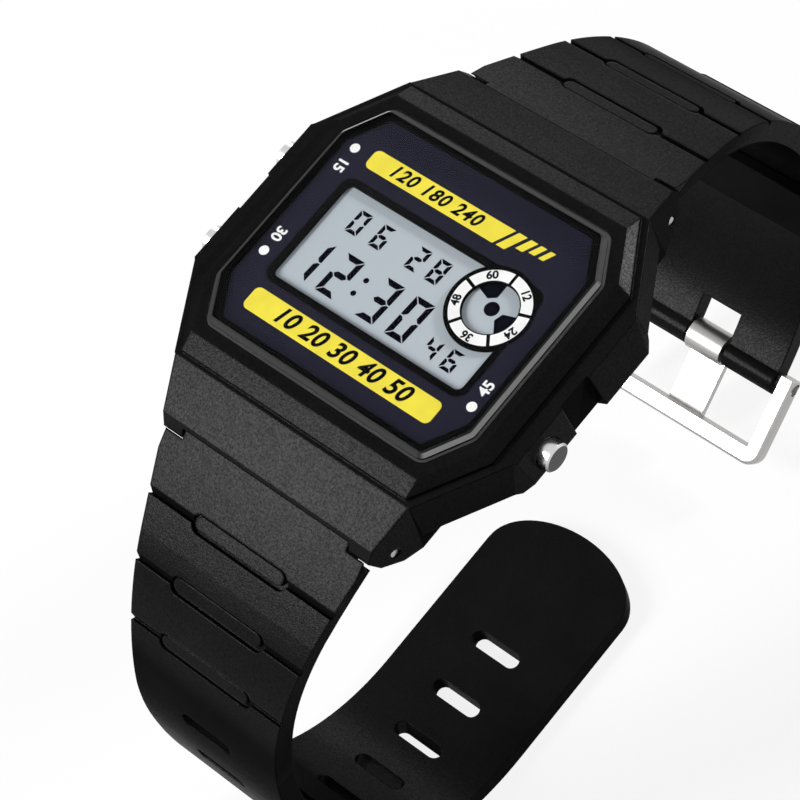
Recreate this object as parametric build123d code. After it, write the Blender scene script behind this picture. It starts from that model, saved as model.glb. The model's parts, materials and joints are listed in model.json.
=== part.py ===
from build123d import *
import math
import os

# Digital wristwatch, in millimetres. The origin is the middle of the case back's outer face,
# +X points to 3 o'clock, +Y to 12 o'clock and +Z out through the glass.

# Heights of the case, from the outer face of the back plate upward
BACK_THICKNESS = 0.8
CASE_FOOT_RISE = 1.7
CASE_WALL_HEIGHT = 6.15
BEZEL_STEP = 0.36
BEZEL_RISE = 0.72
SHELF_DEPTH = 0.58
SHELF_THICKNESS = 0.95

# Case outline seen from above: half sizes, and the lengths cut off each corner
CASE_HALF_X = 17.2
CASE_HALF_Y = 15.1
CASE_CUT_X = 4.45
CASE_CUT_Y = 7.4
CASE_FOOT_SLOPE = 1.0
LEDGE_WIDTH_X = 1.3
LEDGE_WIDTH_Y = 0.4
BEZEL_FOOT_CUT_X = 3.75
BEZEL_FOOT_CUT_Y = 6.1
BEZEL_SLOPE_X = 1.15
BEZEL_SLOPE_Y = 1.62
BEZEL_TOP_CUT_X = 2.53
BEZEL_TOP_CUT_Y = 4.33

# Hood and lugs at each end of the case. Reach is measured from the case's side or the spring bar.
HOOD_HALF_X = 12.66
LUG_TAPER_SHARE = 0.32
LUG_LEAN_SHARE = 0.025
HOOD_REACH = 4.0
HOOD_DROP = 2.38
LUG_REACH = 2.2
LUG_KNEE_RISE = 0.9
LUG_BELLY_REACH = 1.5
LUG_BELLY_DROP = 0.6
LUG_FOOT_BACK = 0.28
LUG_ROOT_DEPTH = 2.2
LUG_SIDE_GAP = 0.15
LUG_SWING_GAP = 0.1
HOOD_RECESS_GAP = 0.18

# Guards beside the buttons, and the plain guard above the right button
GUARD_TOP_DEPTH = 0.2
GUARD_DEPTH = 0.8
TALL_GUARD_DEPTH = 1.2
GUARD_WAIST_RISE = 1.0
GUARD_INNER_GAP = 2.9
TALL_GUARD_INNER_GAP = 3.4
GUARD_END_REACH = 0.3
GUARD_ROOT_DEPTH = 1.6

# Cavity for the movement
CAVITY_WALL_X = 3.1
CAVITY_WALL_Y = 2.6
CAVITY_CUT_X = 4.4
CAVITY_CUT_Y = 6.6

# Glass, its seal and the printed dial panel under it
GLASS_LIP_X = 1.01
GLASS_LIP_Y = 1.34
GLASS_CUT_X = 2.28
GLASS_CUT_Y = 3.82
GLASS_CORNER_ROUND = 0.9
GLASS_THICKNESS = 0.85
GLASS_BEVEL = 0.42
GLASS_SEAL_WIDTH = 0.25
GLASS_SEAL_TOP_GAP = 0.03
GLASS_SHELF_WIDTH = 1.6
PANEL_THICKNESS = 0.3
PANEL_TOP_GAP = 0.05
PANEL_EDGE_GAP = 0.1
WINDOW_LEFT_MARGIN = 3.76
WINDOW_RIGHT_MARGIN = 3.6
WINDOW_LOW_MARGIN = 6.27
WINDOW_TOP_MARGIN = 7.31
WINDOW_CORNER_ROUND = 0.6
DIAL_RING_IN = 2.67
DIAL_RING_DOWN = 2.77
DIAL_RING_RADIUS = 3.82
DIAL_RING_HOLE_RADIUS = 2.36

# Movement, stacked under the panel
DISPLAY_MARGIN = 1.2
DISPLAY_THICKNESS = 1.3
DISPLAY_TOP_GAP = 0.05
FRAME_WALL_GAP = 0.3
FRAME_TOP_GAP = 0.05
FRAME_FIT = 0.08
FRAME_NOTCH_GAP = 0.5
LIGHT_GUIDE_MARGIN_X = 0.06
LIGHT_GUIDE_MARGIN_Y = 0.75
LIGHT_GUIDE_RISE = 0.4
LIGHT_GUIDE_TOP_GAP = 0.05
CONTACT_STRIP_END_GAP = 1.75
CONTACT_STRIP_WIDTH = 1.3
CONTACT_STRIP_EDGE = 0.4
LAMP_LENGTH = 1.0
LAMP_WIDTH = 1.8
LAMP_HEIGHT = 1.1
LAMP_GAP = 0.15
BOARD_GAP_X = 1.9
BOARD_GAP_Y = 0.9
BOARD_CUT_X = 3.5
BOARD_CUT_Y = 5.5
BOARD_RISE = 2.5
BOARD_THICKNESS = 0.8
BATTERY_BOARD_MARGIN = 1.6
BATTERY_THICKNESS = 1.6
BATTERY_RIM = 0.5
BATTERY_RIM_STEP = 0.25
BATTERY_TOP_GAP = 0.15
BATTERY_FIT = 0.1
CLIP_THICKNESS = 0.2
CLIP_WIDTH = 5.0
CLIP_LEG_GAP = 0.35
CLIP_HOLE_RADIUS = 1.2
QUARTZ_RADIUS = 0.75
QUARTZ_LENGTH = 5.0
QUARTZ_BATTERY_GAP = 1.1
BUZZER_WALL_GAP = 1.3
BUZZER_THICKNESS = 0.2
BUZZER_SHIFT = 2.2
BUZZER_SPRING_GAP = 0.24
BUZZER_SPRING_RADIUS = 0.32
BUZZER_SPRING_TURNS = 3
BUZZER_SPRING_WIRE = 0.16
CONTACT_LEAF_THICKNESS = 0.15
CONTACT_LEAF_WIDTH = 2.4
CONTACT_LEAF_RISE = 1.5

# Case back, its gasket and screws
BACK_MARGIN_X = 2.0
BACK_MARGIN_Y = 1.2
BACK_CUT_X = 3.2
BACK_CUT_Y = 5.3
BACK_EDGE_CHAMFER = 0.25
BACK_PANEL_MARGIN = 2.6
BACK_PANEL_STEP = 0.2
GASKET_WIDTH = 0.6
GASKET_THICKNESS = 0.48
GASKET_FIT = 0.05
SCREW_INSET_X = 5.2
SCREW_INSET_Y = 3.5
SCREW_RADIUS = 0.5
SCREW_HEAD_RADIUS = 0.95
SCREW_HEAD_HEIGHT = 0.35
SCREW_LENGTH = 3.4
SCREW_SLOT_WIDTH = 0.3
SCREW_SLOT_DEPTH = 0.18
SCREW_FIT = 0.03

# Buttons: head in a counterbore, stem through the case wall
BUTTON_Y = 4.8
BUTTON_RISE = 4.0
BUTTON_HEAD_RADIUS = 1.3
BUTTON_HEAD_LENGTH = 2.05
BUTTON_PROUD = 1.55
BUTTON_EDGE_CHAMFER = 0.16
BUTTON_TRAVEL = 0.6
BUTTON_REST_GAP = 0.05
STEM_RADIUS = 0.72
STEM_GROOVE_RADIUS = 0.5
BUTTON_FIT = 0.06
STEM_FIT = 0.05
BUTTON_POCKET_DEPTH = 2.2
RETAINER_RADIUS = 1.2
RETAINER_THICKNESS = 0.25
SEAL_SECTION = 0.4
BUTTON_SPRING_RADIUS = 1.0
BUTTON_SPRING_WIRE = 0.15
BUTTON_SPRING_TURNS = 2.5
BUTTON_SPRING_END_GAP = 0.03

# Spring bars and the strap's pivot
BAR_REACH = 2.48
BAR_RISE = 1.65
BAR_RADIUS = 0.75
BAR_TIP_RADIUS = 0.42
BAR_END_GAP = 0.2
BAR_TIP_SETBACK = 0.12
BAR_FIT = 0.05

# Strap halves: shape of the outer surface, seen from the side, starting at the shoulder
TONGUE_HALF_X = 9.0
TONGUE_RADIUS = 2.1
SHOULDER_REACH = 1.5
STRAP_ANGLE = 34.0
FIRST_RUN = 8.5
FIRST_BEND_ANGLE = 5.0
BEND_RUN = 21.5
MAIN_BEND_ANGLE = 48.0
STRAP_ROOT_THICKNESS = 2.3
STRAP_THICKNESS = 2.0
SHOULDER_HALF_X = 10.9
WAIST_HALF_X = 9.28
WAIST_DROP = 5.9
BELLY_HALF_X = 8.3
BELLY_DROP = 17.6
STRAP_END_HALF_X = 8.1
STRAP_END_DROP = 56.0

# Lower half, with the tang slots
LOWER_SIDE_RUN = 16.0
LOWER_SIDE_ANGLE = 18.0
LOWER_CURL_RUN = 26.2
LOWER_CURL_ANGLE = 75.0
LOWER_TAIL_RUN = 20.6
TAIL_TIP_LENGTH = 5.0
SLOT_LENGTH = 5.6
SLOT_WIDTH = 1.6
FIRST_SLOT_AT = 24.8
SLOT_PITCH = 6.0
LAST_SLOT_END_GAP = 9.0

# Upper half, which carries the buckle
UPPER_REST_ANGLE = 6.2
UPPER_CURL_RUN = 29.5
UPPER_CURL_ANGLE = 66.0

# Raised links: a bevelled step across the strap with a rounded bar over it
LINK_COUNT = 3
FIRST_LINK_AT = 5.45
LINK_PITCH = 5.8
LINK_STEP = 0.42
LINK_BEVEL = 0.7
PILL_HALF_LENGTH = 4.85
PILL_WIDTH = 1.25
PILL_SHIFT = 0.38
PILL_MOAT = 0.4
PILL_GROOVE = 0.1

# Buckle
PIN_RADIUS = 0.6
PIN_FIT = 0.04
PIN_BARREL_RADIUS = 1.4
BUCKLE_ARM_GAP = 0.35
BUCKLE_ARM_WIDTH = 1.6
BUCKLE_LENGTH = 8.6
BUCKLE_BAR_WIDTH = 1.7
BUCKLE_THICKNESS = 1.6
BUCKLE_CORNER_ROUND = 1.6
BUCKLE_EDGE_ROUND = 0.4
TANG_WIDTH = 4.0
TANG_THICKNESS = 0.75
TANG_OVERHANG = 0.35
TANG_REST_GAP = 0.05
TANG_SLOT_FIT = 0.25
TANG_SLOT_DEPTH = 4.0
TANG_TIP_ROUND = 1.2

# Keeper loop, which slides along the upper half's curl
KEEPER_AT = 38.0
KEEPER_LENGTH = 6.0
KEEPER_WALL = 1.1
KEEPER_SIDE_GAP = 0.4
KEEPER_INNER_GAP = 0.35
KEEPER_OUTER_GAP = 2.1
KEEPER_CORNER_ROUND = 1.0

OVERRUN = 1.0

# Sizes worked out from those above
CASE_FOOT_Z = BACK_THICKNESS
CASE_SIDE_Z = CASE_FOOT_Z + CASE_FOOT_RISE
LEDGE_Z = CASE_FOOT_Z + CASE_WALL_HEIGHT
BEZEL_FOOT_Z = LEDGE_Z + BEZEL_STEP
BEZEL_TOP_Z = BEZEL_FOOT_Z + BEZEL_RISE
SHELF_TOP_Z = BEZEL_TOP_Z - SHELF_DEPTH
SHELF_LOW_Z = SHELF_TOP_Z - SHELF_THICKNESS
BEZEL_FOOT_HALF_X = CASE_HALF_X - LEDGE_WIDTH_X
BEZEL_FOOT_HALF_Y = CASE_HALF_Y - LEDGE_WIDTH_Y
BEZEL_TOP_HALF_X = BEZEL_FOOT_HALF_X - BEZEL_SLOPE_X
BEZEL_TOP_HALF_Y = BEZEL_FOOT_HALF_Y - BEZEL_SLOPE_Y
GLASS_HALF_X = BEZEL_TOP_HALF_X - GLASS_LIP_X
GLASS_HALF_Y = BEZEL_TOP_HALF_Y - GLASS_LIP_Y
GLASS_LOW_Z = SHELF_TOP_Z + PANEL_THICKNESS + PANEL_TOP_GAP
CAVITY_HALF_X = CASE_HALF_X - CAVITY_WALL_X
CAVITY_HALF_Y = CASE_HALF_Y - CAVITY_WALL_Y
WINDOW_LEFT_X = WINDOW_LEFT_MARGIN - GLASS_HALF_X
WINDOW_RIGHT_X = GLASS_HALF_X - WINDOW_RIGHT_MARGIN
WINDOW_LOW_Y = WINDOW_LOW_MARGIN - GLASS_HALF_Y
WINDOW_TOP_Y = GLASS_HALF_Y - WINDOW_TOP_MARGIN
DIAL_RING_X = WINDOW_RIGHT_X - DIAL_RING_IN
DIAL_RING_Y = WINDOW_TOP_Y - DIAL_RING_DOWN
DISPLAY_LOW_Z = SHELF_TOP_Z - DISPLAY_TOP_GAP - DISPLAY_THICKNESS
BOARD_HALF_X = CAVITY_HALF_X - BOARD_GAP_X
BOARD_HALF_Y = CAVITY_HALF_Y - BOARD_GAP_Y
BOARD_LOW_Z = CASE_FOOT_Z + BOARD_RISE
BOARD_TOP_Z = BOARD_LOW_Z + BOARD_THICKNESS
FRAME_TOP_Z = SHELF_LOW_Z - FRAME_TOP_GAP
BATTERY_RADIUS = min(BOARD_HALF_X, BOARD_HALF_Y) - BATTERY_BOARD_MARGIN
BATTERY_TOP_Z = BOARD_LOW_Z - BATTERY_TOP_GAP
BATTERY_LOW_Z = BATTERY_TOP_Z - BATTERY_THICKNESS
CLIP_LOW_Z = BATTERY_LOW_Z - CLIP_THICKNESS
BUZZER_RADIUS = min(CAVITY_HALF_X, CAVITY_HALF_Y) - BUZZER_SHIFT - BUZZER_WALL_GAP
BACK_HALF_X = CASE_HALF_X - BACK_MARGIN_X
BACK_HALF_Y = CASE_HALF_Y - BACK_MARGIN_Y
SCREW_X = CASE_HALF_X - SCREW_INSET_X
SCREW_Y = CASE_HALF_Y - SCREW_INSET_Y
BUTTON_Z = CASE_FOOT_Z + BUTTON_RISE
POCKET_FLOOR_X = CASE_HALF_X - BUTTON_POCKET_DEPTH
BUTTON_FACE_X = CASE_HALF_X + BUTTON_PROUD
BUTTON_HEAD_X = BUTTON_FACE_X - BUTTON_HEAD_LENGTH
LEAF_X = BOARD_HALF_X + CONTACT_LEAF_THICKNESS
STEM_END_X = LEAF_X + BUTTON_REST_GAP + BUTTON_TRAVEL
RETAINER_X = CAVITY_HALF_X - BUTTON_REST_GAP - RETAINER_THICKNESS
BAR_Y = CASE_HALF_Y + BAR_REACH
BAR_Z = CASE_FOOT_Z + BAR_RISE
LUG_GAP_HALF_X = TONGUE_HALF_X + LUG_SIDE_GAP
HOOD_END_Y = CASE_HALF_Y + HOOD_REACH
HOOD_END_Z = LEDGE_Z - HOOD_DROP
HOOD_RECESS_RADIUS = TONGUE_RADIUS + HOOD_RECESS_GAP
SHOULDER_CLEAR_RADIUS = math.hypot(LUG_REACH, LUG_KNEE_RISE) + LUG_SWING_GAP
PIN_DEPTH = STRAP_THICKNESS / 2
BUCKLE_INNER_X = STRAP_END_HALF_X + BUCKLE_ARM_GAP
BUCKLE_OUTER_X = BUCKLE_INNER_X + BUCKLE_ARM_WIDTH


def octagon(half_x, half_y, cut_x, cut_y, corner_round=0.0):
    """A flat rectangle, 2 half_x by 2 half_y, with its corners cut off."""
    right = [(half_x, half_y - cut_y), (half_x, cut_y - half_y)]
    low = [(half_x - cut_x, -half_y), (cut_x - half_x, -half_y)]
    left = [(-half_x, cut_y - half_y), (-half_x, half_y - cut_y)]
    top = [(cut_x - half_x, half_y), (half_x - cut_x, half_y)]
    face = make_face(Polyline(*right, *low, *left, *top, close=True))
    return fillet(face.vertices(), corner_round) if corner_round else face


def grown(face, amount):
    """The outline moved outward by amount, with its corners kept."""
    return offset(face, amount=amount, kind=Kind.INTERSECTION)


def prism(face, low, high):
    """The face raised along Z from low to high."""
    return extrude(Pos(0, 0, low) * face, amount=high - low, dir=(0, 0, 1))


def rod(radius, x_from, x_to, y, z):
    """A round rod along X."""
    middle = (x_from + x_to) / 2
    return Pos(middle, y, z) * Rot(0, 90, 0) * Cylinder(radius, abs(x_to - x_from))


def block(x_range, y_range, z_range):
    """A box given by its lowest and highest places along X, Y and Z."""
    sizes = [high - low for low, high in (x_range, y_range, z_range)]
    centre = [(high + low) / 2 for low, high in (x_range, y_range, z_range)]
    return Pos(*centre) * Box(*sizes)


def coil(radius, wire, turns, length):
    """A square-wire coil spring along Z that starts at z = 0."""
    pitch = (length - wire) / turns
    path = Helix(pitch=pitch, height=pitch * turns, radius=radius)
    section = Plane(origin=path @ 0, z_dir=path % 0) * Rectangle(wire, wire)
    return Pos(0, 0, wire / 2) * sweep(section, path=path, is_frenet=True)


def side_face(edges):
    """A face drawn in the side view: its X lies along Y and its Y along Z."""
    return Plane(origin=(0, 0, 0), x_dir=(0, 1, 0), z_dir=(1, 0, 0)) * make_face(edges)


def both_ends(shape):
    """The shape at 12 o'clock, with its mirror image at 6 o'clock."""
    return shape + mirror(shape, about=Plane.XZ)


# Case

def case_outline():
    return octagon(CASE_HALF_X, CASE_HALF_Y, CASE_CUT_X, CASE_CUT_Y)


def cavity_outline():
    return octagon(CAVITY_HALF_X, CAVITY_HALF_Y, CAVITY_CUT_X, CAVITY_CUT_Y)


def glass_outline():
    return octagon(GLASS_HALF_X, GLASS_HALF_Y, GLASS_CUT_X, GLASS_CUT_Y, GLASS_CORNER_ROUND)


def bezel():
    foot = octagon(BEZEL_FOOT_HALF_X, BEZEL_FOOT_HALF_Y, BEZEL_FOOT_CUT_X, BEZEL_FOOT_CUT_Y)
    top = octagon(BEZEL_TOP_HALF_X, BEZEL_TOP_HALF_Y, BEZEL_TOP_CUT_X, BEZEL_TOP_CUT_Y)
    step = prism(foot, LEDGE_Z, BEZEL_FOOT_Z)
    slope = loft([Pos(0, 0, BEZEL_FOOT_Z) * foot, Pos(0, 0, BEZEL_TOP_Z) * top], ruled=True)
    return step + slope


def lug_side_x(y, z):
    """How far out the lug's side is: it tapers with y and leans out towards the foot."""
    return HOOD_HALF_X - LUG_TAPER_SHARE * (y - CASE_HALF_Y) + LUG_LEAN_SHARE * (LEDGE_Z - z)


def hood_and_lugs():
    """The sloping hood at 12 o'clock with a lug at each side of the strap's gap."""
    root_y = CASE_HALF_Y - LUG_ROOT_DEPTH
    outline = Polyline(
        (root_y, LEDGE_Z), (CASE_HALF_Y, LEDGE_Z), (HOOD_END_Y, HOOD_END_Z),
        (BAR_Y + LUG_REACH, BAR_Z + LUG_KNEE_RISE), (BAR_Y + LUG_BELLY_REACH, BAR_Z - LUG_BELLY_DROP),
        (BAR_Y - LUG_FOOT_BACK, CASE_FOOT_Z), (root_y, CASE_FOOT_Z), close=True)
    solid = extrude(side_face(outline), amount=HOOD_HALF_X, both=True)
    for side in (-1, 1):
        cut = Plane(origin=(side * HOOD_HALF_X, CASE_HALF_Y, LEDGE_Z),
                    z_dir=(side, LUG_TAPER_SHARE, LUG_LEAN_SHARE))
        solid = split(solid, bisect_by=cut, keep=Keep.BOTTOM)
    gap_x = (-LUG_GAP_HALF_X, LUG_GAP_HALF_X)
    end_y = BAR_Y + LUG_REACH + HOOD_REACH
    low_z = CASE_FOOT_Z - OVERRUN
    recess = rod(HOOD_RECESS_RADIUS, *gap_x, BAR_Y, BAR_Z)
    recess += block(gap_x, (BAR_Y - HOOD_RECESS_RADIUS, end_y), (low_z, BAR_Z))
    mouth_top = BAR_Z + math.sqrt(HOOD_RECESS_RADIUS**2 - (HOOD_END_Y - BAR_Y) ** 2)
    recess += block(gap_x, (BAR_Y, end_y), (low_z, mouth_top))
    holes = rod(BAR_TIP_RADIUS + BAR_FIT, -CASE_HALF_X, CASE_HALF_X, BAR_Y, BAR_Z)
    return solid - recess - holes


def guard(depth, inner_y):
    """A raised pad on the right side, from inner_y towards 12 o'clock. Its outer end is a corner
    cut off at 45 degrees, which leans out a little towards the pad's foot."""
    root_x = CASE_HALF_X - GUARD_ROOT_DEPTH
    waist_z = CASE_SIDE_Z + GUARD_WAIST_RISE
    outline = Polyline(
        (root_x, LEDGE_Z), (CASE_HALF_X + GUARD_TOP_DEPTH, LEDGE_Z), (CASE_HALF_X + depth, waist_z),
        (CASE_HALF_X, CASE_SIDE_Z), (root_x, CASE_SIDE_Z), close=True)
    face = Plane(origin=(0, inner_y, 0), x_dir=(1, 0, 0), z_dir=(0, -1, 0)) * make_face(outline)
    solid = extrude(face, amount=CASE_HALF_Y - inner_y, dir=(0, 1, 0))
    tall = LEDGE_Z - CASE_SIDE_Z
    end_plane = Plane(origin=(CASE_HALF_X, CASE_HALF_Y - CASE_CUT_Y, LEDGE_Z),
                      z_dir=(tall, tall, GUARD_END_REACH))
    return split(solid, bisect_by=end_plane, keep=Keep.BOTTOM)


def guards():
    tall = guard(TALL_GUARD_DEPTH, BUTTON_Y - TALL_GUARD_INNER_GAP)
    low = guard(GUARD_DEPTH, BUTTON_Y - GUARD_INNER_GAP)
    low_right = mirror(low, about=Plane.XZ)
    upper_left = mirror(low, about=Plane.YZ)
    return tall + low_right + upper_left + mirror(upper_left, about=Plane.XZ)


def button_places():
    """Name, side (+1 right, -1 left) and place along Y of each button."""
    return [("light_button", -1, BUTTON_Y), ("mode_button", -1, -BUTTON_Y),
            ("adjust_button", 1, -BUTTON_Y)]


def button_bores():
    bores = []
    for _, side, y in button_places():
        pocket_end = side * (CASE_HALF_X + GUARD_DEPTH + OVERRUN)
        bores.append(rod(BUTTON_HEAD_RADIUS + BUTTON_FIT, side * POCKET_FLOOR_X, pocket_end,
                         y, BUTTON_Z))
        bores.append(rod(STEM_RADIUS + STEM_FIT, side * (CAVITY_HALF_X - OVERRUN),
                         side * (POCKET_FLOOR_X + OVERRUN), y, BUTTON_Z))
    return bores


def screw_places():
    return [(x, y) for x in (-SCREW_X, SCREW_X) for y in (-SCREW_Y, SCREW_Y)]


def case():
    body = prism(case_outline(), CASE_SIDE_Z, LEDGE_Z)
    foot = grown(case_outline(), -CASE_FOOT_SLOPE)
    body += loft([Pos(0, 0, CASE_FOOT_Z) * foot, Pos(0, 0, CASE_SIDE_Z) * case_outline()], ruled=True)
    body += both_ends(hood_and_lugs())
    body += bezel()
    body += guards()
    body -= prism(grown(glass_outline(), GLASS_SEAL_WIDTH), SHELF_TOP_Z, BEZEL_TOP_Z + OVERRUN)
    body -= prism(grown(glass_outline(), -GLASS_SHELF_WIDTH), SHELF_LOW_Z - OVERRUN,
                  SHELF_TOP_Z + OVERRUN)
    body -= prism(cavity_outline(), CASE_FOOT_Z - OVERRUN, SHELF_LOW_Z)
    rebate = grown(cavity_outline(), GASKET_WIDTH + GASKET_FIT)
    body -= prism(rebate, CASE_FOOT_Z - OVERRUN, CASE_FOOT_Z + GASKET_THICKNESS)
    for bore in button_bores():
        body -= bore
    for x, y in screw_places():
        depth = SCREW_LENGTH + OVERRUN
        body -= Pos(x, y, depth / 2) * Cylinder(SCREW_RADIUS + SCREW_FIT, depth)
    return body


# Glass, seal and dial panel

def glass():
    plate = prism(glass_outline(), GLASS_LOW_Z, GLASS_LOW_Z + GLASS_THICKNESS)
    return chamfer(plate.faces().sort_by(Axis.Z)[-1].edges(), length=GLASS_BEVEL)


def glass_seal():
    ring = grown(glass_outline(), GLASS_SEAL_WIDTH) - glass_outline()
    return prism(ring, SHELF_TOP_Z, BEZEL_TOP_Z - GLASS_SEAL_TOP_GAP)


def window_centre():
    return ((WINDOW_LEFT_X + WINDOW_RIGHT_X) / 2, (WINDOW_LOW_Y + WINDOW_TOP_Y) / 2)


def window_sizes():
    return (WINDOW_RIGHT_X - WINDOW_LEFT_X, WINDOW_TOP_Y - WINDOW_LOW_Y)


def dial_panel():
    window = Pos(*window_centre()) * RectangleRounded(*window_sizes(), WINDOW_CORNER_ROUND)
    ring_place = Pos(DIAL_RING_X, DIAL_RING_Y)
    face = grown(glass_outline(), -PANEL_EDGE_GAP) - (window - ring_place * Circle(DIAL_RING_RADIUS))
    face -= ring_place * Circle(DIAL_RING_HOLE_RADIUS)
    return prism(face, SHELF_TOP_Z, SHELF_TOP_Z + PANEL_THICKNESS)


# Movement

def display_sizes():
    return [size + 2 * DISPLAY_MARGIN for size in window_sizes()]


def display():
    face = Pos(*window_centre()) * Rectangle(*display_sizes())
    return prism(face, DISPLAY_LOW_Z, DISPLAY_LOW_Z + DISPLAY_THICKNESS)


def light_guide_sizes():
    width, height = window_sizes()
    return (width - 2 * LIGHT_GUIDE_MARGIN_X, height - 2 * LIGHT_GUIDE_MARGIN_Y)


def light_guide():
    face = Pos(*window_centre()) * Rectangle(*light_guide_sizes())
    return prism(face, BOARD_TOP_Z + LIGHT_GUIDE_RISE, DISPLAY_LOW_Z - LIGHT_GUIDE_TOP_GAP)


def contact_strip_y(side):
    half = display_sizes()[1] / 2 - CONTACT_STRIP_EDGE - CONTACT_STRIP_WIDTH / 2
    return window_centre()[1] + side * half


def contact_strip(side, fit=0.0):
    length = display_sizes()[0] - 2 * CONTACT_STRIP_END_GAP
    face = Pos(window_centre()[0], contact_strip_y(side)) * Rectangle(
        length + 2 * fit, CONTACT_STRIP_WIDTH + 2 * fit)
    return prism(face, BOARD_TOP_Z, DISPLAY_LOW_Z)


def lamp_centre_x():
    return window_centre()[0] - light_guide_sizes()[0] / 2 - LAMP_GAP - LAMP_LENGTH / 2


def lamp(fit=0.0):
    face = Pos(lamp_centre_x(), window_centre()[1]) * Rectangle(
        LAMP_LENGTH + 2 * fit, LAMP_WIDTH + 2 * fit)
    return prism(face, BOARD_TOP_Z, BOARD_TOP_Z + LAMP_HEIGHT + fit)


def movement_frame():
    solid = prism(grown(cavity_outline(), -FRAME_WALL_GAP), BOARD_TOP_Z, FRAME_TOP_Z)
    width, height = (size + 2 * FRAME_FIT for size in display_sizes())
    solid -= prism(Pos(*window_centre()) * Rectangle(width, height), DISPLAY_LOW_Z,
                   FRAME_TOP_Z + OVERRUN)
    guide = Pos(*window_centre()) * Rectangle(*(size + 2 * FRAME_FIT for size in light_guide_sizes()))
    solid -= prism(guide, BOARD_TOP_Z - OVERRUN, FRAME_TOP_Z)
    for side in (-1, 1):
        solid -= contact_strip(side, FRAME_FIT)
    lamp_room = Pos(lamp_centre_x(), window_centre()[1]) * Rectangle(
        LAMP_LENGTH + LAMP_GAP * 2, LAMP_WIDTH + LAMP_GAP)
    solid -= prism(lamp_room, BOARD_TOP_Z - OVERRUN, DISPLAY_LOW_Z - LIGHT_GUIDE_TOP_GAP)
    for _, side, y in button_places():
        notch_x = sorted((side * BOARD_HALF_X, side * (CAVITY_HALF_X + OVERRUN)))
        notch_y = (y - RETAINER_RADIUS - FRAME_NOTCH_GAP, y + RETAINER_RADIUS + FRAME_NOTCH_GAP)
        solid -= block(notch_x, notch_y, (BOARD_TOP_Z - OVERRUN, FRAME_TOP_Z + OVERRUN))
    return solid


def board_outline():
    return octagon(BOARD_HALF_X, BOARD_HALF_Y, BOARD_CUT_X, BOARD_CUT_Y)


def circuit_board():
    return prism(board_outline(), BOARD_LOW_Z, BOARD_TOP_Z)


def quartz_place():
    """Middle of the quartz can, beside the battery and along the board's cut corner."""
    length = math.hypot(BOARD_CUT_X, BOARD_CUT_Y)
    reach = (BATTERY_RADIUS + QUARTZ_BATTERY_GAP + QUARTZ_RADIUS) / length
    return (reach * BOARD_CUT_Y, reach * BOARD_CUT_X)


def quartz_can(extra=0.0):
    x, y = quartz_place()
    turn = math.degrees(math.atan2(-BOARD_CUT_Y, BOARD_CUT_X))
    z = BOARD_LOW_Z - QUARTZ_RADIUS - extra
    return Pos(x, y, z) * Rot(0, 0, turn) * Rot(0, 90, 0) * Cylinder(
        QUARTZ_RADIUS + extra, QUARTZ_LENGTH + 2 * extra)


def battery():
    rim = Pos(0, 0, BATTERY_TOP_Z) * Cylinder(
        BATTERY_RADIUS, BATTERY_THICKNESS - BATTERY_RIM_STEP, align=(Align.CENTER, Align.CENTER, Align.MAX))
    cap = Pos(0, 0, BATTERY_LOW_Z) * Cylinder(
        BATTERY_RADIUS - BATTERY_RIM, BATTERY_RIM_STEP, align=(Align.CENTER, Align.CENTER, Align.MIN))
    return rim + cap


def clip_leg_x():
    return BATTERY_RADIUS + CLIP_LEG_GAP


def battery_clip(fit=0.0):
    reach = clip_leg_x() + CLIP_THICKNESS
    half_width = CLIP_WIDTH / 2 + fit
    plate = block((-reach, reach), (-half_width, half_width), (CLIP_LOW_Z, BATTERY_LOW_Z))
    plate -= Pos(0, 0, CLIP_LOW_Z) * Cylinder(CLIP_HOLE_RADIUS, OVERRUN)
    for side in (-1, 1):
        leg_x = sorted((side * (clip_leg_x() - fit), side * (reach + fit)))
        plate += block(leg_x, (-half_width, half_width), (CLIP_LOW_Z, BOARD_LOW_Z))
    return plate


def battery_holder():
    solid = prism(board_outline(), BATTERY_LOW_Z, BOARD_LOW_Z)
    solid -= Pos(0, 0, BATTERY_LOW_Z) * Cylinder(BATTERY_RADIUS + BATTERY_FIT, BOARD_LOW_Z)
    solid -= battery_clip(BATTERY_FIT)
    solid -= quartz_can(BATTERY_FIT)
    spring_room = BUZZER_SPRING_RADIUS + BUZZER_SPRING_WIRE + BATTERY_FIT
    solid -= Pos(0, -buzzer_spring_reach(), BATTERY_LOW_Z) * Cylinder(spring_room, BOARD_LOW_Z)
    return solid.solids().sort_by(SortBy.VOLUME)[-1]


def buzzer_disc():
    upward = (Align.CENTER, Align.CENTER, Align.MIN)
    return Pos(0, -BUZZER_SHIFT, CASE_FOOT_Z) * Cylinder(BUZZER_RADIUS, BUZZER_THICKNESS, align=upward)


def buzzer_spring_reach():
    """The spring stands on the disc's edge, just outside the battery."""
    return BATTERY_RADIUS + BUZZER_SPRING_GAP + BUZZER_SPRING_RADIUS + BUZZER_SPRING_WIRE


def buzzer_spring():
    low = CASE_FOOT_Z + BUZZER_THICKNESS
    spring = coil(BUZZER_SPRING_RADIUS, BUZZER_SPRING_WIRE, BUZZER_SPRING_TURNS, BOARD_LOW_Z - low)
    return Pos(0, -buzzer_spring_reach(), low) * spring


def switch_contacts():
    leaves = []
    for _, side, y in button_places():
        leaf_x = sorted((side * BOARD_HALF_X, side * LEAF_X))
        leaf_y = (y - CONTACT_LEAF_WIDTH / 2, y + CONTACT_LEAF_WIDTH / 2)
        leaves.append(block(leaf_x, leaf_y, (BOARD_LOW_Z, BOARD_TOP_Z + CONTACT_LEAF_RISE)))
    return Compound(children=leaves)


# Case back

def back_outline():
    return octagon(BACK_HALF_X, BACK_HALF_Y, BACK_CUT_X, BACK_CUT_Y)


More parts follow.
